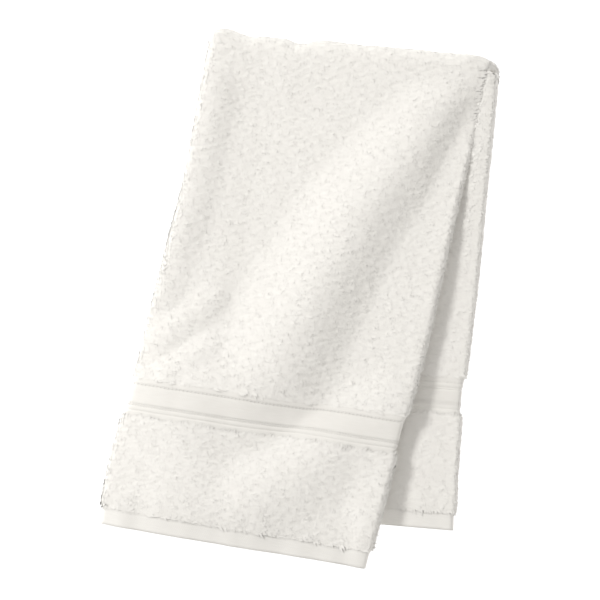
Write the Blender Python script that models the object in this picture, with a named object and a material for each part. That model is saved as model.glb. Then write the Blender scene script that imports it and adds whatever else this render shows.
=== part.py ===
"""A hand towel of cotton terry, folded and lying on a surface. Metres, +Z up.

The cloth is one woven piece with a flat border and a plain hem near each end. Both long edges are
turned in to the middle of the inner side, which makes a strip of two layers with a round roll along
each side. The strip is then folded in half across, with a round fold at +Y. The bottom leg lies on
the surface. The top leg is skewed over it, so that on the left it hangs past the bottom leg down to
the surface. The origin is the middle of the footprint, on the surface.

The cloth is worked out as its middle surface, a grid of rows along the towel and columns across it,
and is then given its thickness on both sides.
"""

import math
from collections import namedtuple

import bmesh
import bpy
import numpy as np

# The flat cloth
FLAT_WIDTH = 0.404
FLAT_LENGTH = 0.740
HEM = 0.0135  # turned and sewn, at each end
LOWER_PILE = 0.072  # between the hem and the border
BORDER = 0.030  # the flat woven band
SELVAGE = 0.008  # bound edge along each side

# How thick the cloth is, as half of its thickness on each side of its middle
PILE_HALF = 0.0022
WOVEN_HALF = 0.0011
SELVAGE_HALF = 0.0010

# The strip of two layers
STRIP_WIDTH = 0.2036  # between the middles of its two side rolls, in the pile
WOVEN_INSET = 0.0019  # how much narrower it is on each side in a border or a hem
INSET_RUN = 0.006  # the length that the inset takes
LAYER_HALF = 0.0031  # half the distance between its two layers
ROLL = 0.0045  # the same at its sides: the radius of the roll
ROLL_RISE = 0.020  # width over which the layers part towards the roll
ROLL_CREST = 0.002  # width beside the roll where they are fully parted
HEM_PINCH = 0.75  # the layers come closer at the hem, to this share
PINCH_RUN = 0.022

# The fold across the strip
FOLD_RADIUS = 0.007  # of the middle of the strip, at the middle of the fold
FRONT_LONGER = 0.030  # the top leg is longer by this
FOLD_SLOPE = 0.0735  # the fold rises to the right by this share
BACK_SLOPE = 0.078  # so does the bottom leg's hem, while the top leg's hem lies along X
CREASE_FADE = 0.060  # the fold's own bumps die out over this length
LEG_GAP = 0.0018  # between the two legs
SETTLE = 0.070  # length over which the top leg comes down from the fold
SIDE_FALL = 0.040  # width over which it comes down beside the bottom leg
END_FALL = 0.045  # and past the bottom leg's hem
END_FALL_LEAD = 0.014  # starting this far before that hem

# The grid's cells: across each half of the strip, around the fold, and along each leg's two zones of pile
PANEL_CELLS, ROLL_CELLS, FLAP_CELLS, FOLD_CELLS = 8, 5, 7, 8
FRONT_PILE_CELLS, FRONT_LOWER_CELLS = 14, 5
BACK_PILE_CELLS, BACK_LOWER_CELLS = 8, 3
PANEL_CROWDING = 0.85  # under 1, the panel's columns lie closer together towards the roll
SELVAGE_STEP = 0.1  # share of the selvage over which the cloth gets thinner
STEP_HALF = 0.0008  # half the length of the step between pile and flat weave
SLOPE_STEP = 0.001  # the top leg's slope is measured over this distance each way

Edge = namedtuple("Edge", "down left right")  # sides of the strip, at a distance down from the fold
FRONT_EDGES = (
    Edge(0.000, -0.1043, 0.1009),
    Edge(0.050, -0.1053, 0.0993),
    Edge(0.100, -0.1062, 0.0953),
    Edge(0.150, -0.1106, 0.0923),
    Edge(0.200, -0.1148, 0.0896),
    Edge(0.250, -0.1189, 0.0848),
    Edge(0.300, -0.1253, 0.0793),
    Edge(0.340, -0.1284, 0.0756),
    Edge(0.374, -0.1293, 0.0733),
)
BACK_EDGES = (
    Edge(0.000, -0.0941, 0.1095),
    Edge(0.050, -0.0908, 0.1128),
    Edge(0.100, -0.0878, 0.1158),
    Edge(0.150, -0.0842, 0.1192),
    Edge(0.200, -0.0821, 0.1215),
    Edge(0.250, -0.0801, 0.1238),
    Edge(0.300, -0.0758, 0.1278),
    Edge(0.344, -0.0706, 0.1330),
)

Crease = namedtuple("Crease", "across out radius")  # the fold, from its left end at -1 to +1
CREASE = (
    Crease(-1.00, -0.0030, 0.0075),
    Crease(-0.88, -0.0045, 0.0073),
    Crease(-0.76, -0.0064, 0.0071),
    Crease(-0.65, -0.0044, 0.0070),
    Crease(-0.52, -0.0042, 0.0070),
    Crease(-0.39, -0.0052, 0.0070),
    Crease(-0.29, -0.0014, 0.0070),
    Crease(0.00, 0.0008, FOLD_RADIUS),
    Crease(0.42, 0.0042, 0.0072),
    Crease(0.72, 0.0060, 0.0078),
    Crease(0.90, 0.0080, 0.0090),
    Crease(1.00, 0.0050, 0.0095),
)

# Soft ridges of the top leg. Each runs from its start to its end and falls away on its upper side over
# one width, and on its lower side over a width that changes from start to end.
Ridge = namedtuple("Ridge", "start_x start_y end_x end_y height upper lower_start lower_end")
RIDGES = (
    Ridge(0.078, -0.025, -0.066, -0.310, 0.0055, 0.052, 0.018, 0.048),
    Ridge(0.101, -0.050, 0.082, -0.235, 0.0034, 0.032, 0.030, 0.030),
    Ridge(0.080, -0.243, -0.022, -0.360, 0.0045, 0.036, 0.032, 0.032),
)
RIDGE_START = 0.030  # the ridges rise over this length from the fold
RIDGE_END = 0.040  # and die out over this length to the hem
RIDGE_LEFT = 0.4  # share of their height left at the hem

# The border's weave along the cloth, in the same order at both ends: how far each line stands
# out from the flat band.
Line = namedtuple("Line", "share raised")
BORDER_LINES = (
    Line(0.11, 0.00035),
    Line(0.155, -0.0003),
    Line(0.20, 0.0),
    Line(0.63, 0.0),
    Line(0.67, -0.0003),
    Line(0.72, 0.00035),
    Line(0.84, -0.0001),
    Line(0.94, 0.00035),
)

Row = namedtuple("Row", "leg down half")  # leg: -1 bottom, 0 around the fold, 1 top
Column = namedtuple("Column", "side zone share half")  # half: 0 for the cloth's own thickness


def smooth(x):
    x = np.clip(x, 0.0, 1.0)
    return x * x * (3 - 2 * x)


def curve(at, known, values):
    """A smooth curve through the table's points, read at one or many places."""
    known, values = np.array(known, float), np.array(values, float)
    slopes = np.gradient(values, known)
    at = np.clip(at, known[0], known[-1])
    i = np.clip(np.searchsorted(known, at) - 1, 0, len(known) - 2)
    run = known[i + 1] - known[i]
    x = (at - known[i]) / run
    a, b, m, n = values[i], values[i + 1], slopes[i] * run, slopes[i + 1] * run
    return (
        a * (1 + 2 * x) * (1 - x) ** 2
        + b * x * x * (3 - 2 * x)
        + m * x * (1 - x) ** 2
        + n * x * x * (x - 1)
    )


def column_of(table, name):
    return [getattr(row, name) for row in table]


LEG_SUM = FLAT_LENGTH - math.pi * FOLD_RADIUS
FRONT_LEG = (LEG_SUM + FRONT_LONGER) / 2
BACK_LEG = (LEG_SUM - FRONT_LONGER) / 2
FOLD_REACH = FOLD_RADIUS + LAYER_HALF + PILE_HALF  # from the fold's axis to its outside


def leg_rows(leg, length, pile_cells, lower_cells):
    """Rows from the fold to the hem of one leg: pile, border, pile, hem."""
    to_border = length - HEM - LOWER_PILE - BORDER
    rows = [Row(leg, to_border * i / pile_cells, PILE_HALF) for i in range(pile_cells)]
    rows.append(Row(leg, to_border - STEP_HALF, PILE_HALF))
    lines = [Line(0.0, BORDER_LINES[0].raised), *BORDER_LINES, Line(1.0, BORDER_LINES[-1].raised)]
    if leg < 0:
        lines = [Line(1 - line.share, line.raised) for line in reversed(lines)]
    rows += [Row(leg, to_border + STEP_HALF + (BORDER - 2 * STEP_HALF) * line.share, WOVEN_HALF + line.raised)
             for line in lines]
    start, end = to_border + BORDER + STEP_HALF, length - HEM - STEP_HALF
    rows += [Row(leg, start + (end - start) * i / lower_cells, PILE_HALF) for i in range(lower_cells + 1)]
    rows += [Row(leg, length - HEM + STEP_HALF, WOVEN_HALF), Row(leg, length, WOVEN_HALF)]
    return rows


def all_rows():
    """From the bottom leg's hem, round the fold, to the top leg's hem."""
    back = leg_rows(-1, BACK_LEG, BACK_PILE_CELLS, BACK_LOWER_CELLS)[::-1]
    around = [Row(0, -90 + 180 * i / FOLD_CELLS, PILE_HALF) for i in range(1, FOLD_CELLS)]
    return back + around + leg_rows(1, FRONT_LEG, FRONT_PILE_CELLS, FRONT_LOWER_CELLS)


def all_columns():
    """From the left selvage, round the left roll, across the panel, and the same on the right."""
    right = [Column(1, "panel", (i / PANEL_CELLS) ** PANEL_CROWDING, 0) for i in range(1, PANEL_CELLS)]
    right += [Column(1, "roll", i / ROLL_CELLS, 0) for i in range(ROLL_CELLS + 1)]
    right += [Column(1, "flap", i / FLAP_CELLS, 0) for i in range(1, FLAP_CELLS + 1)]
    right += [Column(1, "selvage", share, SELVAGE_HALF) for share in (SELVAGE_STEP, 1.0)]
    left = [column._replace(side=-1) for column in reversed(right)]
    return left + [Column(1, "panel", 0.0, 0)] + right


def woven_share(row):
    """0 in the pile, 1 in a border or a hem."""
    if row.leg == 0:
        return 0.0
    length = FRONT_LEG if row.leg > 0 else BACK_LEG
    from_end = length - row.down
    in_hem = smooth((HEM - from_end) / INSET_RUN + 0.5)
    inner = HEM + LOWER_PILE
    past_start = smooth((from_end - inner) / INSET_RUN + 0.5)
    before_end = smooth((inner + BORDER - from_end) / INSET_RUN + 0.5)
    return max(in_hem, past_start * before_end)


def pinch(row):
    if row.leg == 0:
        return 1.0
    length = FRONT_LEG if row.leg > 0 else BACK_LEG
    return 1 - (1 - HEM_PINCH) * smooth((row.down - length + PINCH_RUN) / PINCH_RUN)


def parted(across, straight):
    """Half the distance between the strip's two layers, at a distance from its middle line."""
    rise = (np.abs(across) - (straight - ROLL_CREST - ROLL_RISE)) / ROLL_RISE
    return LAYER_HALF + (ROLL - LAYER_HALF) * smooth(rise)


def section(row, columns):
    """Where the columns lie across the strip, how far out from its middle, and its half height there."""
    pinched = pinch(row)
    roll = ROLL * pinched
    straight = STRIP_WIDTH / 2 - WOVEN_INSET * woven_share(row) - roll
    flap = FLAT_WIDTH / 2 - straight - math.pi * roll - SELVAGE
    across, out = [], []
    for column in columns:
        if column.zone == "panel":
            x, side_of_middle = straight * column.share, 1
        elif column.zone == "flap":
            x, side_of_middle = straight - flap * column.share, -1
        elif column.zone == "selvage":
            x, side_of_middle = straight - flap - SELVAGE * column.share, -1
        else:
            turn = math.pi * column.share
            x, side_of_middle = straight + roll * math.sin(turn), math.cos(turn)
        across.append(column.side * x)
        out.append(side_of_middle)
    across = np.array(across)
    half_height = parted(across, straight) * pinched
    return across, np.array(out) * half_height, half_height


def side_to_side(across, table, down):
    """X of a place across the strip, from the table of its two sides."""
    left = curve(down, column_of(table, "down"), column_of(table, "left"))
    right = curve(down, column_of(table, "down"), column_of(table, "right"))
    return left + (right - left) * (across / STRIP_WIDTH + 0.5)


def crease(across, name):
    return curve(across / (STRIP_WIDTH / 2), column_of(CREASE, "across"), column_of(CREASE, name))


def fold_axis_y(across):
    reach = crease(across, "radius") + parted(across, STRIP_WIDTH / 2 - ROLL) + PILE_HALF
    return crease(across, "out") - reach


def leg_y(across, leg, down):
    """Y at a distance down a leg. The fold's bumps die out, and the slope turns to that of the hem."""
    length, hem_slope = (FRONT_LEG, 0.0) if leg > 0 else (BACK_LEG, BACK_SLOPE)
    done = down / length
    bumps = fold_axis_y(across) + FOLD_REACH - FOLD_SLOPE * across
    slope = FOLD_SLOPE * (1 - done) + hem_slope * done
    return -FOLD_REACH - down + bumps * (1 - smooth(down / CREASE_FADE)) + slope * across


def support(x, y):
    """Height of what the top leg lies on: the bottom leg, or beside it and past its hem the surface."""
    down = np.clip(-y - FOLD_REACH, 0, BACK_LEG)
    left = curve(down, column_of(BACK_EDGES, "down"), column_of(BACK_EDGES, "left"))
    right = curve(down, column_of(BACK_EDGES, "down"), column_of(BACK_EDGES, "right"))
    across = ((x - left) / (right - left) - 0.5) * STRIP_WIDTH
    top = 2 * PILE_HALF + 2 * parted(across, STRIP_WIDTH / 2 - ROLL) + LEG_GAP
    beside = -across - (STRIP_WIDTH / 2 - ROLL)
    past = -FOLD_REACH - BACK_LEG + BACK_SLOPE * across - y
    return top * (1 - smooth(beside / SIDE_FALL)) * (1 - smooth((past + END_FALL_LEAD) / END_FALL))


def ridge_height(x, y):
    """The soft ridges' height at a place, all added up."""
    total = np.zeros_like(x)
    for ridge in RIDGES:
        run_x, run_y = ridge.end_x - ridge.start_x, ridge.end_y - ridge.start_y
        length = math.hypot(run_x, run_y)
        share = np.clip(((x - ridge.start_x) * run_x + (y - ridge.start_y) * run_y) / length**2, 0, 1)
        off_x, off_y = x - ridge.start_x - share * run_x, y - ridge.start_y - share * run_y
        lower_side = off_x * run_y - off_y * run_x < 0
        lower = ridge.lower_start + (ridge.lower_end - ridge.lower_start) * share
        width = np.where(lower_side, lower, ridge.upper)
        total += ridge.height * (1 - smooth(np.hypot(off_x, off_y) / width))
    return total


def underside(x, y, across, down):
    """Height of the top leg's underside, with its ridges, as it comes down from the fold."""
    under = support(x, y)
    under += (2 * crease(across, "radius") - under) * (1 - smooth(down / SETTLE))
    near_hem = smooth((down - FRONT_LEG + RIDGE_END) / RIDGE_END)
    return under + ridge_height(x, y) * smooth(down / RIDGE_START) * (1 - (1 - RIDGE_LEFT) * near_hem)


def slopes(x, y, across, down):
    """How steeply the underside rises along X and along Y."""
    step = SLOPE_STEP
    right, left = underside(x + step, y, across, down), underside(x - step, y, across, down)
    above, below = underside(x, y + step, across, down - step), underside(x, y - step, across, down + step)
    return (right - left) / (2 * step), (above - below) / (2 * step)


def row_points(row, columns):
    """The middle surface of the cloth along one row."""
    across, out, half_height = section(row, columns)
    if row.leg == 0:
        turn = math.radians(row.down)
        back, front = side_to_side(across, BACK_EDGES, 0), side_to_side(across, FRONT_EDGES, 0)
        x = back + (front - back) * (1 + math.sin(turn)) / 2
        radius = crease(across, "radius")
        y = fold_axis_y(across) + (radius + out) * math.cos(turn)
        z = PILE_HALF + half_height + radius + (radius + out) * math.sin(turn)
    elif row.leg < 0:
        x = side_to_side(across, BACK_EDGES, row.down)
        y = leg_y(across, row.leg, row.down)
        z = PILE_HALF + half_height - out
    else:
        x = side_to_side(across, FRONT_EDGES, row.down)
        y = leg_y(across, row.leg, row.down)
        slope_x, slope_y = slopes(x, y, across, row.down)
        steepness = np.sqrt(1 + slope_x**2 + slope_y**2)
        z = underside(x, y, across, row.down) + (PILE_HALF + half_height) * steepness + out / steepness
        x, y = x - out * slope_x / steepness, y - out * slope_y / steepness
    return np.stack([x, y, z], axis=1)


def cloth_faces(points, halves):
    """Both faces of the cloth, its middle surface moved out along its normal."""
    along = np.gradient(points, axis=0)
    over = np.gradient(points, axis=1)
    normal = np.cross(over, along)
    normal /= np.linalg.norm(normal, axis=2, keepdims=True)
    return points + normal * halves[:, :, None], points - normal * halves[:, :, None]


def closed_mesh(name, outer, inner):
    """One closed body: the outer face, the inner face, and a rim round all four edges."""
    rows, columns = outer.shape[:2]
    bm = bmesh.new()
    top = [[bm.verts.new(p) for p in row] for row in outer]
    under = [[bm.verts.new(p) for p in row] for row in inner]
    for i in range(rows - 1):
        for j in range(columns - 1):
            bm.faces.new((top[i][j], top[i][j + 1], top[i + 1][j + 1], top[i + 1][j]))
            bm.faces.new((under[i][j], under[i + 1][j], under[i + 1][j + 1], under[i][j + 1]))
    rim = [(0, j) for j in range(columns)] + [(i, columns - 1) for i in range(1, rows)]
    rim += [(rows - 1, j) for j in range(columns - 2, -1, -1)] + [(i, 0) for i in range(rows - 2, 0, -1)]
    for (i, j), (m, n) in zip(rim, rim[1:] + rim[:1]):
        bm.faces.new((top[m][n], top[i][j], under[i][j], under[m][n]))
    bmesh.ops.recalc_face_normals(bm, faces=bm.faces)
    mesh = bpy.data.meshes.new(name)
    bm.to_mesh(mesh)
    bm.free()
    mesh.shade_smooth()
    return mesh


def terry_material():
    material = bpy.data.materials.new("cotton_terry")
    material.use_nodes = True
    shader = material.node_tree.nodes["Principled BSDF"]
    shader.inputs["Base Color"].default_value = (0.86, 0.84, 0.80, 1)
    shader.inputs["Roughness"].default_value = 0.95
    shader.inputs["Metallic"].default_value = 0.0
    return material


def make_towel():
    rows, columns = all_rows(), all_columns()
    points = np.array([row_points(row, columns) for row in rows])
    halves = np.array([[column.half or row.half for column in columns] for row in rows])
    outer, inner = cloth_faces(points, halves)
    corners = np.concatenate([outer.reshape(-1, 3), inner.reshape(-1, 3)])
    low, high = corners.min(axis=0), corners.max(axis=0)
    origin = np.array([(low[0] + high[0]) / 2, (low[1] + high[1]) / 2, 0.0])
    mesh = closed_mesh("towel", outer - origin, inner - origin)
    mesh.materials.append(terry_material())
    towel = bpy.data.objects.new("towel", mesh)
    bpy.context.scene.collection.objects.link(towel)


def main():
    for obj in list(bpy.data.objects):
        bpy.data.objects.remove(obj, do_unlink=True)
    make_towel()


main()
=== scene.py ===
import math

import bpy
import numpy as np
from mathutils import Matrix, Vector
from mathutils.bvhtree import BVHTree


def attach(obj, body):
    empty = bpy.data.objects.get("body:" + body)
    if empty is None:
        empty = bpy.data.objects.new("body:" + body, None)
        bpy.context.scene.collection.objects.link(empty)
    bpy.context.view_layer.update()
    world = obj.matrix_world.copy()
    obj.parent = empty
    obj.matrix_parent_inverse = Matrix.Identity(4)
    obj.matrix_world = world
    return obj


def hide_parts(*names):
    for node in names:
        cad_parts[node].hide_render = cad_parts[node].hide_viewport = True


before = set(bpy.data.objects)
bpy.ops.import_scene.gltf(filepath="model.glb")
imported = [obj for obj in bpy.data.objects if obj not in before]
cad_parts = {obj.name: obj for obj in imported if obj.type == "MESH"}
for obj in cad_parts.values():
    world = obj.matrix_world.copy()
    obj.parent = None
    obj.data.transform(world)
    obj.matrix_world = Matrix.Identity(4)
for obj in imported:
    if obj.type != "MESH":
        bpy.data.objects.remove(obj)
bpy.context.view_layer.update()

# Every length is in metres. The towel is laid out with its fold near y = 0, and is then moved by
# this much, to where the solid stands.
toFrame = np.array([-0.00102328, 0.18969253, 0.0])

# The flat cloth. Halves are half the thickness of its kinds, but stepHalf is half the length of
# the step from one kind to the next.
cloth = dict(
    width=0.404,
    length=0.740,
    hem=0.0135,
    lowerPile=0.072,
    border=0.030,
    selvage=0.008,
    pileHalf=0.0022,
    groundHalf=0.00170,
    wovenHalf=0.0011,
    selvageHalf=0.0010,
    stepHalf=0.0005,
)

# Both long edges are turned in to the middle, which gives a strip of two layers with rolled sides.
strip = dict(
    width=0.2036,
    wider=0.0010,  # added on each side, for the pile
    inset=0.0019,  # how much the woven parts are drawn in
    insetRun=0.006,
    layerHalf=0.0031,
    leftRoll=0.0038,
    rightRoll=0.0028,
    rollRise=0.028,
    rollCrest=0.002,
    puff=0.0060,  # added beside the fold, on the lower leg's right
    puffFrom=0.074,
    puffRun=0.016,
    puffFall=0.170,
    taper=0.34,  # taken off the top leg's right side, as a share
    taperFrom=0.066,
    taperRun=0.030,
    taperRise=0.070,
    taperFall=0.240,
    hemPinch=0.75,  # share of the thickness left at the hems
    pinchRun=0.022,
)

# The strip is folded in half across, with the top leg skewed over the bottom leg.
fold = dict(
    radius=0.007,
    frontLonger=0.030,
    slope=0.0735,  # of the fold's line
    backSlope=0.078,  # of the lower leg's hem
    creaseFade=0.060,
    legGap=0.0006,
    settle=0.050,  # how far from the fold the top leg comes to lie on the lower one
    sideFall=0.075,  # how gently it falls beyond the lower leg's side, and beyond its end
    endFall=0.130,
    endFallLead=0.030,
    slopeStep=0.001,
)
legSum = cloth["length"] - math.pi * fold["radius"]
frontLeg = (legSum + fold["frontLonger"]) / 2
backLeg = (legSum - fold["frontLonger"]) / 2
foldReach = fold["radius"] + strip["layerHalf"] + cloth["pileHalf"]

# Distance down from the fold, then the strip's left and right side there
frontEdges = (
    (0.000, -0.1043, 0.1009),
    (0.050, -0.1053, 0.0993),
    (0.100, -0.1062, 0.0953),
    (0.150, -0.1106, 0.0923),
    (0.200, -0.1148, 0.0896),
    (0.250, -0.1189, 0.0848),
    (0.300, -0.1253, 0.0793),
    (0.340, -0.1284, 0.0756),
    (0.374, -0.1293, 0.0733),
)
backEdges = (
    (0.000, -0.0941, 0.1095),
    (0.050, -0.0908, 0.1128),
    (0.100, -0.0878, 0.1158),
    (0.150, -0.0842, 0.1192),
    (0.200, -0.0821, 0.1215),
    (0.250, -0.0801, 0.1238),
    (0.300, -0.0758, 0.1278),
    (0.344, -0.0706, 0.1330),
)
# Across the fold from -1 to 1, how far out it lies, and its radius
crease = (
    (-1.00, -0.0030, 0.0075),
    (-0.88, -0.0045, 0.0073),
    (-0.76, -0.0064, 0.0071),
    (-0.65, -0.0044, 0.0070),
    (-0.52, -0.0042, 0.0070),
    (-0.39, -0.0052, 0.0070),
    (-0.29, -0.0014, 0.0070),
    (0.00, 0.0008, 0.0070),
    (0.42, 0.0042, 0.0072),
    (0.72, 0.0060, 0.0070),
    (0.90, 0.0070, 0.0066),
    (1.00, 0.0040, 0.0060),
)
# Crests of the top leg's soft ridges. Each row has x, y, height, and width of the sides to the
# left and to the right, seen down the ridge.
ridges = (
    (
        (0.080, -0.022, 0.0050, 0.036, 0.022),
        (0.0227, -0.130, 0.0105, 0.050, 0.042),
        (-0.0065, -0.211, 0.0120, 0.056, 0.048),
        (-0.018, -0.245, 0.0110, 0.056, 0.050),
        (-0.042, -0.269, 0.0080, 0.050, 0.054),
        (-0.088, -0.278, 0.0035, 0.036, 0.058),
    ),
    (
        (0.104, -0.050, 0.0012, 0.026, 0.026),
        (0.092, -0.150, 0.0018, 0.030, 0.026),
        (0.084, -0.235, 0.0022, 0.034, 0.026),
        (0.076, -0.310, 0.0034, 0.030, 0.026),
        (0.072, -0.372, 0.0052, 0.026, 0.026),
    ),
    (
        (0.068, -0.262, 0.0034, 0.034, 0.036),
        (0.030, -0.305, 0.0052, 0.036, 0.040),
        (-0.020, -0.352, 0.0046, 0.036, 0.042),
        (-0.040, -0.380, 0.0010, 0.036, 0.042),
    ),
    (
        (-0.102, -0.050, 0.0036, 0.022, 0.026),
        (-0.108, -0.150, 0.0056, 0.022, 0.028),
        (-0.113, -0.205, 0.0036, 0.020, 0.022),
    ),
    ((-0.072, -0.205, 0.0018, 0.014, 0.014), (-0.107, -0.245, 0.0018, 0.014, 0.014)),
    ((-0.067, -0.238, 0.0016, 0.012, 0.012), (-0.096, -0.266, 0.0016, 0.012, 0.012)),
)
# The ridges rise beside the fold, and this share of them is left at the hem
ridgeEnds = dict(rise=0.030, fall=0.040, left=0.7)

# The border's ribs and grooves, from its fold side on the top leg: share of its width, height
ribs = (
    (0.00, 0.00042),
    (0.05, 0.00040),
    (0.10, 0.00038),
    (0.13, 0.00005),
    (0.155, -0.00032),
    (0.18, 0.00000),
    (0.22, 0.00010),
    (0.40, 0.00004),
    (0.60, 0.00010),
    (0.635, 0.00005),
    (0.655, -0.00045),
    (0.68, 0.00012),
    (0.705, -0.00045),
    (0.73, 0.00020),
    (0.77, 0.00038),
    (0.81, 0.00030),
    (0.84, -0.00015),
    (0.87, 0.00028),
    (0.93, 0.00040),
    (1.00, 0.00042),
)

# Cells of the cloth's grid
grid = dict(
    panel=26,
    roll=8,
    flap=18,
    selvageShares=(0.12, 0.56, 1.0),
    fold=14,
    pileCell=0.0042,
    hemCells=6,
    borderCell=0.00048,
)


def smooth(x):
    x = np.clip(x, 0.0, 1.0)
    return x * x * (3 - 2 * x)


def curve(at, table, column):
    known = np.array([row[0] for row in table], float)
    values = np.array([row[column] for row in table], float)
    slopes = np.gradient(values, known)
    at = np.clip(at, known[0], known[-1])
    i = np.clip(np.searchsorted(known, at) - 1, 0, len(known) - 2)
    run = known[i + 1] - known[i]
    x = (at - known[i]) / run
    a, b, m, n = values[i], values[i + 1], slopes[i] * run, slopes[i + 1] * run
    return (
        a * (1 + 2 * x) * (1 - x) ** 2
        + b * x * x * (3 - 2 * x)
        + m * x * (1 - x) ** 2
        + n * x * x * (x - 1)
    )


def wavesOf(seed, shortest, longest, count=26):
    draw = np.random.default_rng(seed)
    size = np.exp(draw.uniform(math.log(shortest), math.log(longest), count))
    way = draw.uniform(0, 2 * math.pi, count)
    turn = 2 * math.pi / size
    return list(zip(np.cos(way) * turn, np.sin(way) * turn, draw.uniform(0, 2 * math.pi, count)))


def mottle(waves, u, v):
    total = sum(np.sin(u * alongU + v * alongV + start) for alongU, alongV, start in waves)
    return total / math.sqrt(len(waves) / 2)


def wovenShare(leg, down):
    if leg == 0:
        return 0.0
    fromEnd = (frontLeg if leg > 0 else backLeg) - down
    run = strip["insetRun"]
    inner = cloth["hem"] + cloth["lowerPile"]
    inHem = smooth((cloth["hem"] - fromEnd) / run + 0.5)
    pastStart = smooth((fromEnd - inner) / run + 0.5)
    beforeEnd = smooth((inner + cloth["border"] - fromEnd) / run + 0.5)
    return max(inHem, pastStart * beforeEnd)


def pinch(leg, down):
    if leg == 0:
        return 1.0
    length = frontLeg if leg > 0 else backLeg
    nearHem = smooth((down - length + strip["pinchRun"]) / strip["pinchRun"])
    return 1 - (1 - strip["hemPinch"]) * nearHem


def rollAt(across):
    return np.where(np.asarray(across) < 0, strip["leftRoll"], strip["rightRoll"])


def parted(across, reach=strip["width"] / 2):
    roll = rollAt(across)
    rise = np.abs(across) - (reach - roll - strip["rollCrest"] - strip["rollRise"])
    return strip["layerHalf"] + (roll - strip["layerHalf"]) * smooth(rise / strip["rollRise"])


def puffAt(leg, down, across):
    # Near the fold the lower leg's right side is fat, and fills the step beside the top leg
    if leg > 0:
        return 0.0
    near = 1 - smooth(down / strip["puffFall"])
    if leg == 0:
        near = max(0.0, -math.sin(math.radians(down))) ** 3
    return strip["puff"] * near * smooth((across - strip["puffFrom"]) / strip["puffRun"])


def taperAt(leg, down, across):
    # Farther down the top leg's right side is thin
    if leg <= 0:
        return 1.0
    near = smooth(down / strip["taperRise"])
    near *= 1 - smooth((down - strip["taperRise"]) / strip["taperFall"])
    return 1 - strip["taper"] * near * smooth((across - strip["taperFrom"]) / strip["taperRun"])


def clothColumns():
    right = [("panel", i / grid["panel"]) for i in range(1, grid["panel"])]
    right += [("roll", i / grid["roll"]) for i in range(grid["roll"] + 1)]
    right += [("flap", i / grid["flap"]) for i in range(1, grid["flap"] + 1)]
    right += [("selvage", share) for share in grid["selvageShares"]]
    left = [(-1, zone, share) for zone, share in reversed(right)]
    return left + [(1, "panel", 0.0)] + [(1, zone, share) for zone, share in right]


def section(leg, down, columns):
    pinched = pinch(leg, down)
    reach = strip["width"] / 2 - strip["inset"] * wovenShare(leg, down)
    across, out, flat = [], [], []
    for side, zone, share in columns:
        roll = float(rollAt(side)) * pinched
        straight = reach - roll
        flap = cloth["width"] / 2 - straight - math.pi * roll - cloth["selvage"]
        if zone == "panel":
            x, part, along = straight * share, 1, straight * share
        elif zone == "flap":
            x, part, along = straight - flap * share, -1, straight + math.pi * roll + flap * share
        elif zone == "selvage":
            along = cloth["width"] / 2 - cloth["selvage"] * (1 - share)
            x, part = straight - flap - cloth["selvage"] * share, -1
        else:
            turn = math.pi * share
            x, part = straight + roll * math.sin(turn), math.cos(turn)
            along = straight + roll * turn
        across.append(side * x)
        out.append(part)
        flat.append(side * along)
    across = np.array(across)
    halfHeight = parted(across, reach) * pinched * taperAt(leg, down, across)
    halfHeight = halfHeight + puffAt(leg, down, across)
    return across, np.array(out) * halfHeight, halfHeight, np.array(flat)


def sideToSide(across, table, down):
    left, right = curve(down, table, 1), curve(down, table, 2)
    left, right = left - strip["wider"], right + strip["wider"]
    return left + (right - left) * (across / strip["width"] + 0.5)


def creaseAt(across, column):
    return curve(across / (strip["width"] / 2), crease, column)


def foldAxisY(across):
    return creaseAt(across, 1) - creaseAt(across, 2) - parted(across) - cloth["pileHalf"]


def legY(across, leg, down):
    length, hemSlope = (frontLeg, 0.0) if leg > 0 else (backLeg, fold["backSlope"])
    done = down / length
    bumps = foldAxisY(across) + foldReach - fold["slope"] * across
    slope = fold["slope"] * (1 - done) + hemSlope * done
    return -foldReach - down + bumps * (1 - smooth(down / fold["creaseFade"])) + slope * across


def support(x, y):
    down = np.clip(-y - foldReach, 0, backLeg)
    left, right = curve(down, backEdges, 1), curve(down, backEdges, 2)
    across = ((x - left) / (right - left) - 0.5) * strip["width"]
    top = 2 * cloth["pileHalf"] + 2 * parted(across) + fold["legGap"]
    beside = smooth((-across - strip["width"] / 2 + strip["leftRoll"]) / fold["sideFall"])
    past = -foldReach - backLeg + fold["backSlope"] * across - y
    return top * (1 - beside) * (1 - smooth((past + fold["endFallLead"]) / fold["endFall"]))


def ridgeHeight(x, y):
    total = np.zeros_like(x)
    for crest in ridges:
        nearest, rise = np.full_like(x, np.inf), np.zeros_like(x)
        for first, second in zip(np.array(crest)[:-1], np.array(crest)[1:]):
            runX, runY = second[:2] - first[:2]
            share = ((x - first[0]) * runX + (y - first[1]) * runY) / (runX**2 + runY**2)
            share = np.clip(share, 0, 1)
            offX, offY = x - first[0] - share * runX, y - first[1] - share * runY
            off = np.hypot(offX, offY)
            height, left, right = (
                first[i] + (second[i] - first[i]) * share for i in range(2, 5)
            )
            side = (offY * runX - offX * runY) / (np.maximum(off, 1e-9) * math.hypot(runX, runY))
            width = left + (right - left) * smooth((side + 1) / 2)
            rise = np.where(off < nearest, height * (1 - smooth(off / width)), rise)
            nearest = np.minimum(nearest, off)
        total += rise
    return total


def underside(x, y, across, down):
    under = support(x, y)
    under += (2 * creaseAt(across, 2) - under) * (1 - smooth(down / fold["settle"]))
    nearHem = smooth((down - frontLeg + ridgeEnds["fall"]) / ridgeEnds["fall"])
    left = 1 - (1 - ridgeEnds["left"]) * nearHem
    return under + ridgeHeight(x, y) * smooth(down / ridgeEnds["rise"]) * left


def slopesAt(x, y, across, down):
    step = fold["slopeStep"]
    right, left = underside(x + step, y, across, down), underside(x - step, y, across, down)
    above = underside(x, y + step, across, down - step)
    below = underside(x, y - step, across, down + step)
    return (right - left) / (2 * step), (above - below) / (2 * step)


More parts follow.
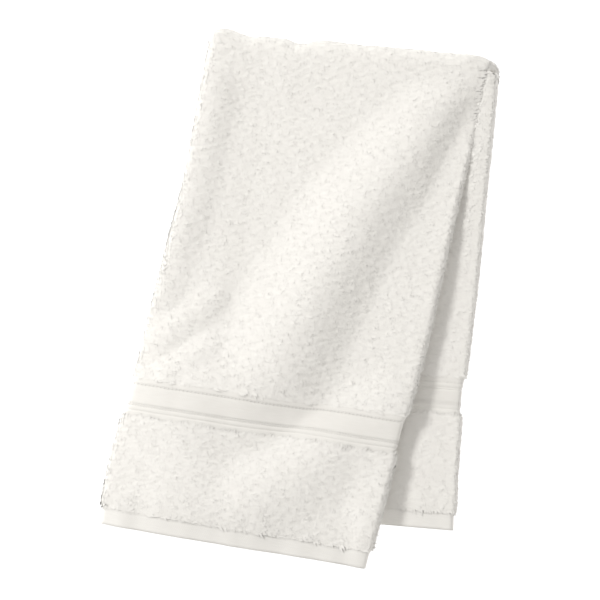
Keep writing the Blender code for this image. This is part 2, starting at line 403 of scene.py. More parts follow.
def rowPoints(leg, down, columns):
    across, out, halfHeight, flat = section(leg, down, columns)
    floorToMiddle = cloth["pileHalf"] + halfHeight
    if leg == 0:
        turn = math.radians(down)
        back, front = sideToSide(across, backEdges, 0), sideToSide(across, frontEdges, 0)
        radius = creaseAt(across, 2)
        x = back + (front - back) * (1 + math.sin(turn)) / 2
        y = foldAxisY(across) + (radius + out) * math.cos(turn)
        z = floorToMiddle + radius + (radius + out) * math.sin(turn)
    elif leg < 0:
        x, y = sideToSide(across, backEdges, down), legY(across, leg, down)
        z = floorToMiddle - out
    else:
        x, y = sideToSide(across, frontEdges, down), legY(across, leg, down)
        slopeX, slopeY = slopesAt(x, y, across, down)
        steepness = np.sqrt(1 + slopeX**2 + slopeY**2)
        z = underside(x, y, across, down) + floorToMiddle * steepness + out / steepness
        x, y = x - out * slopeX / steepness, y - out * slopeY / steepness
    return np.stack([x, y, z], axis=1) + toFrame, flat


def legRows(leg, length):
    # Each row has its leg, how far down from the fold it is, half its thickness and its kind
    step, half = cloth["stepHalf"], cloth["groundHalf"]
    toBorder = length - cloth["hem"] - cloth["lowerPile"] - cloth["border"]
    cells = round(toBorder / grid["pileCell"])
    rows = [(leg, toBorder * i / cells, half, "pile") for i in range(cells)]
    rows.append((leg, toBorder - step, half, "pile"))
    cells = round(cloth["border"] / grid["borderCell"])
    for i in range(cells + 1):
        share = i / cells
        raised = np.interp(1 - share if leg < 0 else share, *zip(*ribs))
        along = toBorder + step + (cloth["border"] - 2 * step) * share
        rows.append((leg, along, cloth["wovenHalf"] + raised, "border"))
    start, end = toBorder + cloth["border"] + step, length - cloth["hem"] - step
    cells = round((end - start) / grid["pileCell"])
    rows += [(leg, start + (end - start) * i / cells, half, "pile") for i in range(cells + 1)]
    start = length - cloth["hem"] + step
    for i in range(grid["hemCells"] + 1):
        down = start + (length - start) * i / grid["hemCells"]
        rows.append((leg, down, cloth["wovenHalf"], "hem"))
    return rows


def clothRows():
    around = [
        (0, -90 + 180 * i / grid["fold"], cloth["groundHalf"], "pile")
        for i in range(1, grid["fold"])
    ]
    return legRows(-1, backLeg)[::-1] + around + legRows(1, frontLeg)


def flatV(leg, down):
    if leg < 0:
        return backLeg - down
    if leg == 0:
        return backLeg + fold["radius"] * math.radians(down + 90)
    return backLeg + math.pi * fold["radius"] + down


# Small unevenness of the cloth: wavelengths, and how high it stands in the pile, in the border
# and at the hems, where its waves are long down the cloth
relief = dict(
    lumps=(0.010, 0.028),
    lumpRise=0.00010,
    wovenRise=0.00008,
    hemWaves=(0.016, 0.034),
    hemRise=0.00035,
    hemStretch=0.15,
    seed=7,
)


def clothSurface():
    rows, columns = clothRows(), clothColumns()
    made = [rowPoints(leg, down, columns) for leg, down, _, _ in rows]
    points = np.array([row for row, _ in made])
    u = np.array([flat for _, flat in made])
    v = np.array([flatV(leg, down) for leg, down, _, _ in rows])
    half = np.array([[row[2]] * len(columns) for row in rows])
    bound = [i for i, column in enumerate(columns) if column[1] == "selvage"]
    half[:, bound] = cloth["selvageHalf"]
    normal = np.cross(np.gradient(points, axis=0), np.gradient(points, axis=1))
    normal /= np.linalg.norm(normal, axis=2, keepdims=True)
    kinds = np.array([row[3] for row in rows])
    allV = v[:, None] + 0 * u
    fromEnd = np.minimum(allV, cloth["length"] - allV)
    nearHem = 1 - smooth((fromEnd - cloth["hem"]) / (2 * cloth["hem"]))
    sway = mottle(wavesOf(relief["seed"], *relief["hemWaves"]), u, relief["hemStretch"] * allV)
    points = points + normal * (relief["hemRise"] * nearHem * sway)[:, :, None]
    lumps = mottle(wavesOf(relief["seed"] + 1, *relief["lumps"]), u, allV)
    rises = [relief["lumpRise"], relief["wovenRise"]]
    rise = np.select([kinds == "pile", kinds == "border"], rises)
    return dict(
        middle=points,
        normal=normal,
        kinds=kinds,
        u=u,
        v=v,
        outer=half + rise[:, None] * lumps,
        inner=half,
        tall=len(rows),
        wide=len(columns),
    )


def addPiece(name, mesh, *materials):
    for material in materials:
        mesh.materials.append(material)
    piece = bpy.data.objects.new(name, mesh)
    bpy.context.scene.collection.objects.link(piece)
    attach(piece, "root")
    return piece


def makeCloth(surface, materials):
    tall, wide = surface["tall"], surface["wide"]
    outer = surface["middle"] + surface["normal"] * surface["outer"][:, :, None]
    inner = surface["middle"] - surface["normal"] * surface["inner"][:, :, None]
    points = np.concatenate([outer.reshape(-1, 3), inner.reshape(-1, 3)])
    points[:, 2] = np.maximum(points[:, 2], 0.0)
    index = np.arange(tall * wide).reshape(tall, wide)
    a, b, c, d = index[:-1, :-1], index[:-1, 1:], index[1:, 1:], index[1:, :-1]
    top = np.stack([a, d, c, b], axis=-1).reshape(-1, 4)
    under = np.stack([a, b, c, d], axis=-1).reshape(-1, 4) + tall * wide
    rim = np.concatenate([index[0], index[1:, -1], index[-1, -2::-1], index[-2:0:-1, 0]])
    after = np.roll(rim, -1)
    edge = np.stack([rim, after, after + tall * wide, rim + tall * wide], axis=-1)
    faces = np.concatenate([top, under, edge])
    mesh = bpy.data.meshes.new("towelCloth")
    mesh.from_pydata(points, [], faces.tolist())
    order = {"pile": 0, "border": 1, "hem": 2}
    kinds = np.array([order[kind] for kind in surface["kinds"]])
    rowKind = np.repeat(np.minimum(kinds[:-1], kinds[1:]), wide - 1)
    edgeKind = kinds[(rim // wide).clip(0, tall - 1)]
    mesh.polygons.foreach_set("material_index", np.concatenate([rowKind, rowKind, edgeKind]))
    # A map of the flat cloth in centimetres, for the weave
    flat = np.stack([surface["u"], surface["v"][:, None] + 0 * surface["u"]], axis=-1)
    flat = np.tile(flat.reshape(-1, 2), (2, 1))
    corners = flat[faces.ravel()] * 100
    mesh.uv_layers.new(name="flatCloth").data.foreach_set("uv", corners.ravel())
    mesh.shade_smooth()
    piece = addPiece("towelCloth", mesh, *materials)
    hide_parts("towel")
    return piece, points, faces


class Wire:
    # A shader socket that can stand in sums and products
    def __init__(self, recipe, socket):
        self.recipe, self.socket = recipe, socket

    def maths(self, operation, *others):
        terms = {i: term for i, term in enumerate((self, *others))}
        return self.recipe.node("ShaderNodeMath", {"operation": operation}, terms)

    def __add__(self, other):
        return self.maths("ADD", other)

    def __rsub__(self, other):
        return (self * -1) + other

    def __mul__(self, other):
        return self.maths("MULTIPLY", other)

    __radd__, __rmul__ = __add__, __mul__

    def between(self, low, high):
        # 0 below low, 1 above high
        settings = {"interpolation_type": "SMOOTHSTEP"}
        return self.recipe.node("ShaderNodeMapRange", settings, {0: self, 1: low, 2: high})


class Recipe:
    def __init__(self, name, **constants):
        self.material = bpy.data.materials.new(name)
        self.material.use_nodes = True
        self.tree = self.material.node_tree
        self.shader = self.tree.nodes["Principled BSDF"]
        for socket, value in constants.items():
            self.shader.inputs[socket.replace("_", " ")].default_value = value

    def node(self, kind, settings=None, sockets=None, out=0):
        made = self.tree.nodes.new(kind)
        for key, value in (settings or {}).items():
            setattr(made, key, value)
        for key, value in (sockets or {}).items():
            self.feed(made.inputs[key], value)
        return Wire(self, made.outputs[out])

    def feed(self, socket, value):
        if isinstance(value, Wire):
            self.tree.links.new(value.socket, socket)
        else:
            socket.default_value = value

    def place(self, size):
        # The spot on the object, in units of the given size
        where = self.node("ShaderNodeTexCoord", out="Object")
        settings = {"operation": "SCALE"}
        return self.node("ShaderNodeVectorMath", settings, {0: where, "Scale": 1 / size})

    def noise(self, where, detail):
        sockets = {"Vector": where, "Scale": 1.0, "Detail": detail, "Roughness": 0.5}
        return self.node("ShaderNodeTexNoise", None, sockets, out="Fac")

    def mix(self, share, low, high):
        settings = {"data_type": "RGBA"}
        return self.node("ShaderNodeMix", settings, {0: share, 6: low, 7: high}, out=2)

    def bump(self, height, distance, strength):
        sockets = {"Height": height, "Distance": distance, "Strength": strength}
        self.feed(self.shader.inputs["Normal"], self.node("ShaderNodeBump", None, sockets))

    def colour(self, colour):
        self.feed(self.shader.inputs["Base Color"], colour)


# Cotton's tones, the size of the paler and deeper patches, and its shine
cotton = dict(
    pale=(0.945, 0.926, 0.890, 1),
    deep=(0.930, 0.910, 0.873, 1),
    root=(0.935, 0.915, 0.877, 1),
    woven=(0.915, 0.895, 0.858, 1),
    wovenDeep=(0.880, 0.858, 0.818, 1),
    patch=0.016,
    sheen=0.25,
    sheenRoughness=0.5,
    roughness=0.92,
    specular=0.2,
)


def cottonRecipe(name):
    return Recipe(
        name,
        Roughness=cotton["roughness"],
        Sheen_Weight=cotton["sheen"],
        Sheen_Roughness=cotton["sheenRoughness"],
        Specular_IOR_Level=cotton["specular"],
    )


# A loop's fibres: their size, how far they stand up, and how strongly
loopFibres = dict(size=0.00035, rise=0.00004, strength=0.3)


def loopsMaterial():
    loop = cottonRecipe("terryLoops")
    patches = loop.noise(loop.place(cotton["patch"]), 3.0).between(0.35, 0.65)
    loop.colour(loop.mix(patches, cotton["deep"], cotton["pale"]))
    fibres = loop.noise(loop.place(loopFibres["size"]), 1.0)
    loop.bump(fibres, loopFibres["rise"], loopFibres["strength"])
    return loop.material


# The cloth under the loops: size of its knots and of its grain, their shares of the tone and of
# the bump, and how far it stands up
underLoops = dict(
    knot=0.0012,
    grain=0.0006,
    knotTone=0.7,
    patchTone=0.6,
    knotBump=0.8,
    grainBump=0.5,
    rise=0.00012,
    strength=0.6,
)


def groundMaterial():
    ground = cottonRecipe("terryGround")
    cells = {"Vector": ground.place(underLoops["knot"]), "Scale": 1.0}
    knots = ground.node("ShaderNodeTexVoronoi", None, cells, out="Distance")
    grain = ground.noise(ground.place(underLoops["grain"]), 3.0)
    patches = ground.noise(ground.place(cotton["patch"]), 2.0)
    tone = knots * underLoops["knotTone"] + patches * underLoops["patchTone"]
    ground.colour(ground.mix(tone.between(0.2, 0.9), cotton["deep"], cotton["root"]))
    bumps = (1 - knots) * underLoops["knotBump"] + grain * underLoops["grainBump"]
    ground.bump(bumps, underLoops["rise"], underLoops["strength"])
    return ground.material


# The flat weave: thread spacing, how far its threads stand up, how much of that is the crossing
# warp, the fineness of the thick and thin places across and along, and shares of the tone: the
# slubs' own tone, and the threads' share, which is painted shade in the hollows between the
# threads
weave = dict(
    weft=0.00055,
    warp=0.00075,
    rise=0.00010,
    crossing=0.35,
    slubs=(1.2, 9.0),
    slubTone=0.7,
    threadShade=0.3,
)


def weaveBump(woven, flatMap):
    # Threads over and under each other, on the map of the flat cloth in centimetres
    split = woven.node("ShaderNodeSeparateXYZ", None, {0: flatMap})
    across, along = split, Wire(woven, split.socket.node.outputs[1])
    wefts = (along * (math.pi / (weave["weft"] * 100))).maths("SINE").maths("ABSOLUTE")
    warps = (across * (math.pi / (weave["warp"] * 100))).maths("SINE")
    shift = (along * (math.pi / (weave["weft"] * 200))).maths("SINE")
    crossing = weave["crossing"]
    return wefts * ((1 - crossing) + crossing * (warps * shift)), across, along


def wovenMaterial(name, slub, deep, pale):
    woven = cottonRecipe(name)
    flatMap = woven.node("ShaderNodeUVMap", {"uv_map": "flatCloth"})
    threads, across, along = weaveBump(woven, flatMap)
    fineAcross, fineAlong = weave["slubs"]
    streaks = {0: across * fineAcross, 1: along * fineAlong}
    slubs = woven.noise(woven.node("ShaderNodeCombineXYZ", None, streaks), 3.0)
    # The slubs give the cloth's own uneven tone; the threads' share paints shade between the
    # threads
    tone = slubs * weave["slubTone"] + threads * weave["threadShade"]
    woven.colour(woven.mix(tone.between(0.25, 0.75), cotton[deep], cotton[pale]))
    woven.bump(threads + slubs * slub, weave["rise"], 1.0)
    return woven.material


threadFibres = dict(size=0.0004, rise=0.00005, strength=0.6)


def threadMaterial():
    thread = cottonRecipe("sewingThread")
    fibres = thread.noise(thread.place(threadFibres["size"]), 2.0)
    thread.colour(thread.mix(fibres, cotton["wovenDeep"], cotton["pale"]))
    thread.bump(fibres, threadFibres["rise"], threadFibres["strength"])
    return thread.material


def unit(vectors):
    return vectors / np.maximum(np.linalg.norm(vectors, axis=-1, keepdims=True), 1e-12)


class Spots:
    # Places on the cloth's outer face, by their distance across and along the flat cloth
    def __init__(self, surface, u, v):
        gridU, gridV = surface["u"][surface["tall"] // 2], surface["v"]
        i = np.clip(np.searchsorted(gridV, v) - 1, 0, len(gridV) - 2)
        j = np.clip(np.searchsorted(gridU, u) - 1, 0, len(gridU) - 2)
        down = ((v - gridV[i]) / (gridV[i + 1] - gridV[i])).clip(0, 1)[:, None]
        over = ((u - gridU[j]) / (gridU[j + 1] - gridU[j])).clip(0, 1)[:, None]

        def read(field):
            first = field[i, j] * (1 - over) + field[i, j + 1] * over
            second = field[i + 1, j] * (1 - over) + field[i + 1, j + 1] * over
            return first * (1 - down) + second * down

        self.u, self.v = u, v
        self.normal = unit(read(surface["normal"]))
        self.point = read(surface["middle"]) + self.normal * read(surface["outer"][:, :, None])
        middle = surface["middle"]
        self.alongU = unit(middle[i, j + 1] - middle[i, j])
        self.alongV = unit(middle[i + 1, j] - middle[i, j])

    def clump(self, waves, stretch, rise, lift):
        # Small soft hills, raised a little as a whole, which also turn the normals
        turns = [u * self.u / stretch + v * self.v + start for u, v, start in waves]
        share = rise / math.sqrt(len(waves) / 2)
        up = sum(np.sin(turn) for turn in turns) * share
        overU = sum(np.cos(turn) * wave[0] for turn, wave in zip(turns, waves)) * share / stretch
        overV = sum(np.cos(turn) * wave[1] for turn, wave in zip(turns, waves)) * share
        self.point = self.point + self.normal * (up + lift)[:, None]
        tilted = self.normal - self.alongU * overU[:, None] - self.alongV * overV[:, None]
        self.normal = unit(tilted)

    def only(self, keep):
        for name, value in list(vars(self).items()):
            setattr(self, name, value[keep])


# A yarn's section, as shares of half its width; the space kept under it; the share of the cloth's
# own normal in its shading; and the part of its map's cell that it fills
yarn = dict(
    below=0.3,
    above=0.22,
    clear=0.0001,
    softness=0.97,
    cellStart=0.1,
    cellStep=0.26,
    cellTall=0.8,
)


def yarnFaces(rings):
    # One yarn is a row of three-sided rings that ends in a point
    quads = [
        (3 * k + e, 3 * k + (e + 1) % 3, 3 * k + 3 + (e + 1) % 3, 3 * k + 3 + e)
        for k in range(rings - 1)
        for e in range(3)
    ]
    last = 3 * (rings - 1)
    tips = [(last + e, last + (e + 1) % 3, last + 3) for e in range(3)]
    return [*quads, *tips, (0, 2, 1)]


def yarnMap(faces, rings, count):
    # Each yarn has its own small cell of the map
    side = math.ceil(math.sqrt(count))
    inCell = []
    for face in faces:
        for corner in face:
            ring, around = divmod(corner, 3)
            seam = len(face) == 4 and around == 0 and face[1] % 3 == 0
            around = 1.5 if ring == rings else 3 if seam else around
            over = yarn["cellStart"] + yarn["cellStep"] * around
            inCell.append((over, yarn["cellStart"] + yarn["cellTall"] * ring / rings))
    cell = np.stack([np.arange(count) % side, np.arange(count) // side], axis=1)
    return (cell[:, None] + np.array(inCell)[None]) / side


def makeYarns(name, shape, spots, ways, length, width, rise, bend, material):
    # One short closed yarn at each spot. The shape's rows give, from root to tip, shares of the
    # length, of the rise, of the bend to the side and of the width.
    count, rings = len(spots.u), len(shape) - 1
    ways = unit(ways - spots.normal * (ways * spots.normal).sum(axis=1, keepdims=True))
    aside = np.cross(spots.normal, ways)
    length, width, rise, bend = (
        np.broadcast_to(value, count)[:, None] for value in (length, width, rise, bend)
    )
    points = np.empty((count, 3 * rings + 1, 3))
    for ring, (along, up, sideways, wide) in enumerate(shape):
        centre = spots.point + ways * (length * along) + spots.normal * (rise * up)
        centre = centre + aside * (bend * sideways)
        if ring == rings:
            points[:, -1] = centre
            break
        half = width * wide / 2
        low = spots.normal * half * yarn["below"]
        points[:, 3 * ring] = centre - aside * half - low
        points[:, 3 * ring + 1] = centre + aside * half - low
        points[:, 3 * ring + 2] = centre + spots.normal * half * yarn["above"]
    points[:, :, 2] = np.maximum(points[:, :, 2], yarn["clear"])
    faces = yarnFaces(rings)
    sizes = np.array([len(face) for face in faces])
    corners = np.concatenate([np.array(face) for face in faces])
    first = np.arange(count)[:, None]
    mesh = bpy.data.meshes.new(name)
    mesh.vertices.add(count * (3 * rings + 1))
    mesh.vertices.foreach_set("co", points.ravel())
    mesh.loops.add(count * len(corners))
    mesh.loops.foreach_set("vertex_index", (corners + first * (3 * rings + 1)).ravel())
    mesh.polygons.add(count * len(faces))
    starts = np.concatenate([[0], np.cumsum(sizes)[:-1]])
    mesh.polygons.foreach_set("loop_start", (starts + first * len(corners)).ravel())
    mesh.update(calc_edges=True)
    mesh.validate()
    uv = yarnMap(faces, rings, count)
    mesh.uv_layers.new(name="OFBake").data.foreach_set("uv", uv.ravel())
    mesh.shade_smooth()
    outwards = np.empty_like(points)
    for ring in range(rings):
        outwards[:, 3 * ring] = -aside
        outwards[:, 3 * ring + 1] = aside
        outwards[:, 3 * ring + 2] = spots.normal
    outwards[:, -1] = spots.normal
    soft = spots.normal[:, None] * yarn["softness"] + outwards * (1 - yarn["softness"])
    mesh.normals_split_custom_set_from_vertices(unit(soft).reshape(-1, 3).tolist())
    addPiece(name, mesh, material)
    print(f"{name}: {count} yarns, {count * (sizes - 2).sum()} triangles")


# The pile: spacing, size and lie of its loops, and the soft clumps that they form. Angles are in
# degrees on the flat cloth, from across it towards its top hem.
pile = dict(
    spacing=0.00152,
    jitter=0.42,
    length=(0.0019, 0.0029),
    width=(0.00140, 0.00200),
    rise=(0.00005, 0.00014),
    lift=0.00016,
    bend=0.0004,
    frontLie=-54,
    backLie=169,
    swirl=24,
    scatter=24,
    swirlSize=(0.018, 0.060),
    edge=0.0035,
    overhang=1.0,
    ragged=1.1,
    clumpSize=(0.0028, 0.0075),
    clumpStretch=1.6,
    clumpRise=0.000085,
    clumpWaves=40,
    backClump=0.8,
    foldLead=0.02,  # how far before the fold the outer side starts
    edgeMargin=0.004,
    flapMargin=0.012,
    flapFrom=0.05,  # from here on the top leg's turned-in side has no pile
    mostInPiece=18000,
    seed=11,
)
loopShape = ((0.0, -0.5, 0.0, 0.9), (0.45, 1.0, 0.5, 1.0), (1.0, 0.35, 1.5, 0.0))


def pileZones():
    # Where pile starts and ends along the flat cloth
    hem, border = cloth["hem"], cloth["hem"] + cloth["lowerPile"]
    after = border + cloth["border"]
    whole = cloth["length"]
    return ((hem, border), (after, whole - after), (whole - border, whole - hem))


def scattered(draw, spacing):
    # A jittered grid over all the pile of one face
    u, v = [], []
    half = cloth["width"] / 2 - cloth["selvage"]
    for start, end in pileZones():
        rows = round((end - start) / (spacing * math.sqrt(0.75)))
        columns = round(2 * half / spacing)
        i, j = np.meshgrid(np.arange(rows), np.arange(columns), indexing="ij")
        shift = draw.uniform(-pile["jitter"], pile["jitter"], (2, *i.shape))
        u.append(((j + 0.5 * (i % 2) + 0.25 + shift[0]) / columns * 2 * half - half).ravel())
        v.append((start + (i + 0.5 + shift[1]) / rows * (end - start)).ravel())
    return np.concatenate(u).clip(-half, half), np.concatenate(v)


def nearEdge(v):
    ends = np.array(pileZones()).ravel()
    return 1 - smooth(np.abs(v[:, None] - ends).min(axis=1) / pile["edge"])


def lieOf(spots, draw, degrees):
    swirl = mottle(wavesOf(pile["seed"] + 2, *pile["swirlSize"]), spots.u, spots.v)
    scatter = draw.normal(0, pile["scatter"], len(swirl))
    turned = np.radians(degrees + pile["swirl"] * swirl + scatter)
    overU, overV = np.cos(turned), np.sin(turned)
    for start, end in pileZones():
        for edge, outwards in ((start, -1), (end, 1)):
            near = 1 - smooth(np.abs(spots.v - edge) / pile["edge"])
            overV = overV + outwards * pile["overhang"] * near
    return spots.alongU * overU[:, None] + spots.alongV * overV[:, None]


# Lines of sight: how many around, their slope, how far they reach, how far off the cloth they
# start, and how squarely they meet it at least
sight = dict(around=8, slope=0.55, reach=0.6, clear=0.0024, square=0.05)


def outFrom(tree, spots):
    # Which spots can be seen from somewhere above the surface that the towel lies on
    turns = np.linspace(0, 2 * math.pi, sight["around"], endpoint=False)
    slants = [(0, 0, 1)] + [(math.cos(turn), math.sin(turn), sight["slope"]) for turn in turns]
    slants = [Vector(slant).normalized() for slant in slants]
    seen = np.zeros(len(spots.u), bool)
    for i, (point, normal) in enumerate(zip(spots.point, spots.normal)):
        start, facing = Vector(point + normal * sight["clear"]), Vector(normal)
        seen[i] = any(
            slant.dot(facing) > sight["square"]
            and tree.ray_cast(start, slant, sight["reach"])[0] is None
            for slant in slants
        )
    return seen


def between(draw, span, count):
    return draw.uniform(span[0], span[1], count)


def makePile(surface, tree, material):
    draw = np.random.default_rng(pile["seed"])
    spots = Spots(surface, *scattered(draw, pile["spacing"]))
    roll = rollAt(spots.u)
    straight = strip["width"] / 2 - roll
    onPanel = np.abs(spots.u) < straight - pile["edgeMargin"]
    foldStart = backLeg - pile["foldLead"]
    front = spots.v > foldStart
    onFlap = np.abs(spots.u) > straight + math.pi * roll + pile["flapMargin"]
    hidden = (~front & onPanel) | (front & onFlap & (spots.v > foldStart + pile["flapFrom"]))
    spots.only(~hidden)
    # What is plainly on top needs no lines of sight
    edge = strip["width"] / 2 - strip["leftRoll"] - pile["edgeMargin"]
    sure = (spots.v > foldStart) & (np.abs(spots.u) < edge)
    unsure = np.nonzero(~sure)[0]
    some = Spots(surface, spots.u[unsure], spots.v[unsure])
    sure[unsure] = outFrom(tree, some)
    spots.only(sure)
    lie = np.where(spots.v > foldStart, pile["frontLie"], pile["backLie"])
    ways = lieOf(spots, draw, lie)
    count = len(spots.u)
    sizes = [between(draw, pile[name], count) for name in ("length", "width", "rise")]
    sizes[0] = sizes[0] * (1 + pile["ragged"] * nearEdge(spots.v) * draw.uniform(0, 1, count))
    sizes[2] = sizes[2] * (1 + nearEdge(spots.v))
    bend = draw.normal(0, pile["bend"], count)
    cuts = np.linspace(0, count, math.ceil(count / pile["mostInPiece"]) + 1).astype(int)
    order = np.argsort(spots.v, kind="stable")
    clumps = wavesOf(pile["seed"] + 5, *pile["clumpSize"], pile["clumpWaves"])
    for number, (start, end) in enumerate(zip(cuts[:-1], cuts[1:]), 1):
        keep = order[start:end]
        part = Spots(surface, spots.u[keep], spots.v[keep])
        taller = np.where(part.v < foldStart, pile["backClump"], 1.0)
        part.clump(clumps, pile["clumpStretch"], pile["clumpRise"] * taller, pile["lift"])
        values = [value[keep] for value in (*sizes, bend)]
        makeYarns(f"pile_{number}", loopShape, part, ways[keep], *values, material)


# Sparser and larger yarns underneath, by how they compare with the pile's
underPile = dict(spacing=0.0034, highest=0.004, facing=-0.5, longer=1.5, wider=2.2, flatter=0.5)


def makeUnderPile(surface, material):
    draw = np.random.default_rng(pile["seed"] + 1)
    spots = Spots(surface, *scattered(draw, underPile["spacing"]))
    low = spots.point[:, 2] < underPile["highest"]
    spots.only(low & (spots.v < backLeg) & (spots.normal[:, 2] < underPile["facing"]))
    count = len(spots.u)
    ways = lieOf(spots, draw, pile["backLie"])
    length = between(draw, pile["length"], count) * underPile["longer"]
    width = between(draw, pile["width"], count) * underPile["wider"]
    rise = between(draw, pile["rise"], count) * underPile["flatter"]
    makeYarns("pile_under", loopShape, spots, ways, length, width, rise, 0.0, material)


# Loose fine fibres along the top leg's sides: how many for each metre, where they are as a share
# of the roll, how far they lean towards the fold, and their size
wisps = dict(
    right=2600,
    left=900,
    around=(-0.3, 1.3),
    lean=0.55,
    scatter=0.45,
    bend=0.0006,
    length=(0.0030, 0.0052),
    width=(0.00022, 0.00038),
    rise=0.0012,
)


def makeWisps(surface, material):
    draw = np.random.default_rng(pile["seed"] + 3)
    u, v = [], []
    for side, number in ((1, wisps["right"]), (-1, wisps["left"])):
        for start, end in pileZones():
            start = max(start, backLeg)
            if end > start:
                count = round(number * (end - start))
                roll = float(rollAt(side))
                turned = between(draw, wisps["around"], count) * roll
                u.append(side * (strip["width"] / 2 - roll + turned))
                v.append(draw.uniform(start, end, count))
    spots = Spots(surface, np.concatenate(u), np.concatenate(v))
    count = len(spots.u)
    outwards = np.sign(spots.u)[:, None] * spots.alongU
    scatter = draw.normal(0, wisps["scatter"], (count, 3))
    ways = outwards - wisps["lean"] * spots.alongV + scatter
    length = between(draw, wisps["length"], count)
    width = between(draw, wisps["width"], count)
    bend = draw.normal(0, wisps["bend"], count)
    makeYarns("pile_wisps", loopShape, spots, ways, length, width, wisps["rise"], bend, material)


# Two tufts of thick yarn ends beside the fold on the right: how many in each, where it starts and
# ends below the fold, where they are as a share of the roll, their lean, size and height
fringe = dict(
    tufts=((56, -0.002, 0.022), (18, 0.026, 0.036)),
    length=(0.0040, 0.0058),
    width=(0.00090, 0.00120),
    rise=0.0004,
    lift=0.0007,
    around=(-1.3, -0.3),
    lean=(-0.6, 0.30),
    bend=0.0006,
)


def makeFringe(surface, material):
    draw = np.random.default_rng(pile["seed"] + 4)
    foldEnd = backLeg + math.pi * fold["radius"]
    roll = float(rollAt(1))
    u, v = [], []
    for number, start, end in fringe["tufts"]:
        u.append(strip["width"] / 2 - roll + between(draw, fringe["around"], number) * roll)
        v.append(foldEnd + np.linspace(start, end, number))
    spots = Spots(surface, np.concatenate(u), np.concatenate(v))
    spots.point[:, 2] += fringe["lift"]
    count = len(spots.u)
    ways = spots.alongU + draw.normal(*fringe["lean"], (count, 1)) * spots.alongV
    length = between(draw, fringe["length"], count)
    width = between(draw, fringe["width"], count)
    bend = draw.normal(0, fringe["bend"], count)
    makeYarns("pile_fringe", loopShape, spots, ways, length, width, fringe["rise"], bend, material)


# Short threads that cross the border's grooves and make them look dashed: share of the border,
# spacing, length, width, slant in degrees
floats = (
    (0.155, 0.0028, 0.0016, 0.00120, 90),
    (0.655, 0.0020, 0.0014, 0.00075, 62),
    (0.705, 0.0020, 0.0014, 0.00075, 62),
)
floatRise = 0.00042
floatShape = ((0.0, -0.5, 0, 0.7), (0.25, 0.9, 0, 1.0), (0.75, 0.9, 0, 1.0), (1.0, -0.5, 0, 0.0))
stitches = dict(spacing=0.0029, length=0.0023, width=0.00042, rise=0.00022, fromPile=0.0016)


def makeThreads(surface, material):
    half = cloth["width"] / 2 - cloth["selvage"]
    inner = cloth["hem"] + cloth["lowerPile"]
    for end in (0, 1):
        u, v, ways, sizes = [], [], [], []
        toV = (lambda fromEnd: cloth["length"] - fromEnd) if end else (lambda fromEnd: fromEnd)
        for share, spacing, length, width, slant in floats:
            at = np.arange(-half, half, spacing)
            middle = toV(inner + cloth["border"] * (1 - share))
            over, along = math.cos(math.radians(slant)), math.sin(math.radians(slant))
            u.append(at - over * length / 2)
            v.append(np.full(len(at), middle - along * length / 2))
            ways += [(over, along)] * len(at)
            sizes += [(length, width, floatRise)] * len(at)
        at = np.arange(-half, half, stitches["spacing"])
        u.append(at)
        v.append(np.full(len(at), toV(cloth["hem"] - stitches["fromPile"])))
        ways += [(1.0, 0.0)] * len(at)
        sizes += [(stitches["length"], stitches["width"], stitches["rise"])] * len(at)
        spots = Spots(surface, np.concatenate(u), np.concatenate(v))
        overU, overV = np.array(ways).T[:, :, None]
        lie = spots.alongU * overU + spots.alongV * overV
        length, width, rise = np.array(sizes).T
        name = "threads_top" if end else "threads_bottom"
        makeYarns(name, floatShape, spots, lie, length, width, rise, 0.0, material)


print("cloth")
surface = clothSurface()
clothMaterials = (
    groundMaterial(),
    wovenMaterial("wovenBorder", 0.6, "wovenDeep", "woven"),
    # The hem takes paler tones than the border's same cloth: painted light that offsets the shade
    # on its sloping end
    wovenMaterial("wovenHem", 1.2, "woven", "pale"),
)
towelCloth, clothPoints, clothFaces = makeCloth(surface, clothMaterials)

print("pile and threads")
tree = BVHTree.FromPolygons(clothPoints.tolist(), clothFaces.tolist())
loops = loopsMaterial()
makePile(surface, tree, loops)
makeUnderPile(surface, loops)
makeWisps(surface, loops)
makeFringe(surface, loops)
makeThreads(surface, threadMaterial())

# Studio: a pale glowing floor, a soft key light on the left, an even pale surround
studio = dict(
    floorSize=14.0,
    floorColour=(0.60, 0.60, 0.60, 1),
    floorGlow=0.80,
    floorRoughness=0.9,
    keyAngle=158,
    keyHeight=41,
    keyDistance=3.0,
    keySize=0.62,
    keyPower=51,
    keyColour=(1.0, 0.995, 0.985),
    surround=(0.60, 0.592, 0.575, 1),
    surroundStrength=1.0,
)
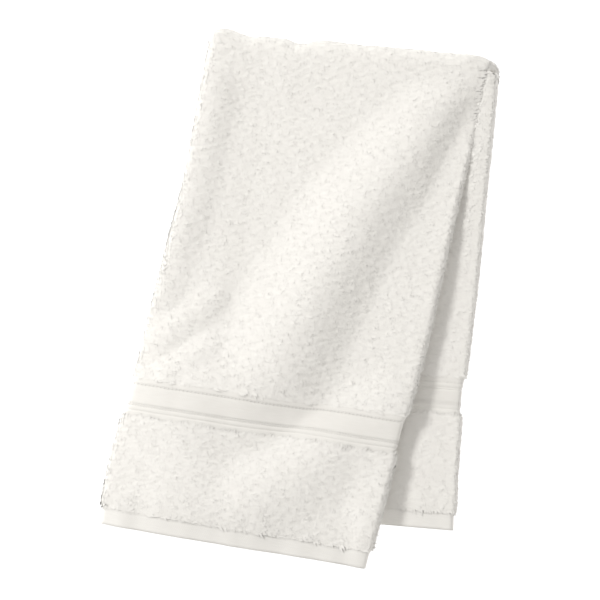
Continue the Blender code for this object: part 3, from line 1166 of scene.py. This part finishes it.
# The camera looks straight down. Its middle and roll are those of the photograph.
view = dict(
    x=-0.0092,
    y=-0.0062,
    roll=9.35,
    width=0.450,
    plane=0.018,
    lens=300,
    sensor=36,
    clip=30,
)


def makeStudio():
    half = studio["floorSize"] / 2
    mesh = bpy.data.meshes.new("paleFloor")
    corners = [(-half, -half, 0), (half, -half, 0), (half, half, 0), (-half, half, 0)]
    mesh.from_pydata(corners, [], [(0, 1, 2, 3)])
    floor = bpy.data.objects.new("paleFloor", mesh)
    bpy.context.scene.collection.objects.link(floor)
    paint = Recipe("paleFloor", Base_Color=studio["floorColour"])
    paint.shader.inputs["Roughness"].default_value = studio["floorRoughness"]
    paint.shader.inputs["Emission Color"].default_value = (1, 1, 1, 1)
    paint.shader.inputs["Emission Strength"].default_value = studio["floorGlow"]
    mesh.materials.append(paint.material)

    light = bpy.data.lights.new("key", "AREA")
    light.shape, light.size, light.energy = "DISK", studio["keySize"], studio["keyPower"]
    light.color = studio["keyColour"]
    key = bpy.data.objects.new("key", light)
    bpy.context.scene.collection.objects.link(key)
    turn, height = math.radians(studio["keyAngle"]), math.radians(studio["keyHeight"])
    towards = Vector(
        (math.cos(turn) * math.cos(height), math.sin(turn) * math.cos(height), math.sin(height))
    )
    key.location = towards * studio["keyDistance"]
    key.rotation_mode = "QUATERNION"
    key.rotation_quaternion = towards.to_track_quat("Z", "Y")
    key.visible_camera = False

    world = bpy.data.worlds.new("surround")
    world.use_nodes = True
    background = world.node_tree.nodes["Background"]
    background.inputs["Color"].default_value = studio["surround"]
    background.inputs["Strength"].default_value = studio["surroundStrength"]
    bpy.context.scene.world = world
    bpy.context.scene.view_settings.view_transform = "Standard"


def makeCamera():
    camera = bpy.data.cameras.new("camera")
    camera.lens, camera.sensor_width = view["lens"], view["sensor"]
    camera.clip_end = view["clip"]
    eye = bpy.data.objects.new("camera", camera)
    distance = view["width"] * view["lens"] / camera.sensor_width
    eye.location = (view["x"], view["y"], view["plane"] + distance)
    eye.rotation_euler = (0, 0, math.radians(view["roll"]))
    bpy.context.scene.collection.objects.link(eye)
    bpy.context.scene.camera = eye


print("studio")
makeStudio()
makeCamera()
